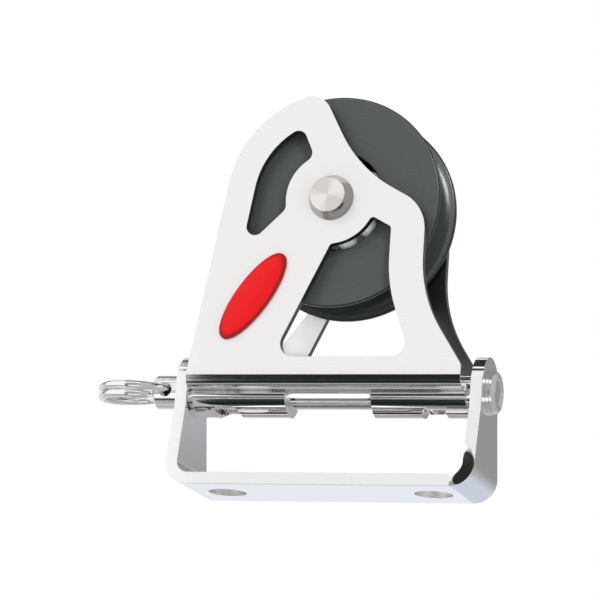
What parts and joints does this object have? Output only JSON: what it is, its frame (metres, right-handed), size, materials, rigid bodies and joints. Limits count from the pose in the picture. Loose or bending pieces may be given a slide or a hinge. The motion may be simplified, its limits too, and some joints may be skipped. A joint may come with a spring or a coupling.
{
  "type": "pivoting lead block",
  "caption": "Ball bearing sheave between two pressed steel cheeks that pivot on a clevis pin in a U-shaped deck bracket, for turning a control line or halyard.",
  "frame": {"origin": "on the underside of the mounting bracket, midway between its two mounting holes", "axes": "+X along the clevis pin, away from the split ring; +Y from the labelled cheek to the plain one; +Z from the mounting face towards the sheave"},
  "size_m": [0.0981, 0.0272, 0.0935],
  "materials": {
    "bracket_steel": "electropolished stainless steel",
    "cheek_steel": "polished stainless sheet with a fine grain",
    "pin_steel": "turned and polished stainless steel",
    "ring_wire": "polished stainless wire",
    "race_steel": "turned stainless steel",
    "ball_steel": "polished ball",
    "sheave_alloy": "dark hard anodised, with fine turning lines",
    "label_resin": "domed clear resin over red"
  },
  "bodies": {
    "bracket": {"mounting_bracket": "bracket_steel"},
    "pin": {"clevis_pin": "pin_steel", "pin_washer": "pin_steel"},
    "ring": {"split_ring": "ring_wire"},
    "head": {"front_cheek": "cheek_steel", "rear_cheek": "cheek_steel", "axle_rivet": "pin_steel", "front_race_half": "race_steel", "rear_race_half": "race_steel", "label": "label_resin"},
    "sheave": {"sheave": "sheave_alloy"},
    "balls": {"front_ball_1": "ball_steel", "front_ball_2": "ball_steel", "front_ball_3": "ball_steel", "front_ball_4": "ball_steel", "front_ball_5": "ball_steel", "front_ball_6": "ball_steel", "front_ball_7": "ball_steel", "front_ball_8": "ball_steel", "front_ball_9": "ball_steel", "front_ball_10": "ball_steel", "rear_ball_1": "ball_steel", "rear_ball_2": "ball_steel", "rear_ball_3": "ball_steel", "rear_ball_4": "ball_steel", "rear_ball_5": "ball_steel", "rear_ball_6": "ball_steel", "rear_ball_7": "ball_steel", "rear_ball_8": "ball_steel", "rear_ball_9": "ball_steel", "rear_ball_10": "ball_steel"}
  },
  "joints": [
    {"name": "head_pivot", "type": "hinge", "parent": "bracket", "child": "head", "pos_m": [0, 0, 0.0239], "axis": [1, 0, 0], "range_deg": [-90, 90]},
    {"name": "sheave_spin", "type": "hinge", "parent": "head", "child": "sheave", "pos_m": [-0.0008, 0, 0.0681], "axis": [0, 1, 0], "continuous": true},
    {"name": "ball_orbit", "type": "hinge", "parent": "head", "child": "balls", "pos_m": [-0.0008, 0, 0.0681], "axis": [0, 1, 0], "continuous": true},
    {"name": "pin_turn", "type": "hinge", "parent": "bracket", "child": "pin", "pos_m": [0, 0, 0.0239], "axis": [1, 0, 0], "continuous": true},
    {"name": "ring_swing", "type": "hinge", "parent": "pin", "child": "ring", "pos_m": [-0.0412, 0, 0.0239], "axis": [0, 1, 0], "range_deg": [-90, 90]}
  ],
  "couplings": [
    {"joint": "ball_orbit", "follows": "sheave_spin", "ratio": 0.6266}
  ]
}
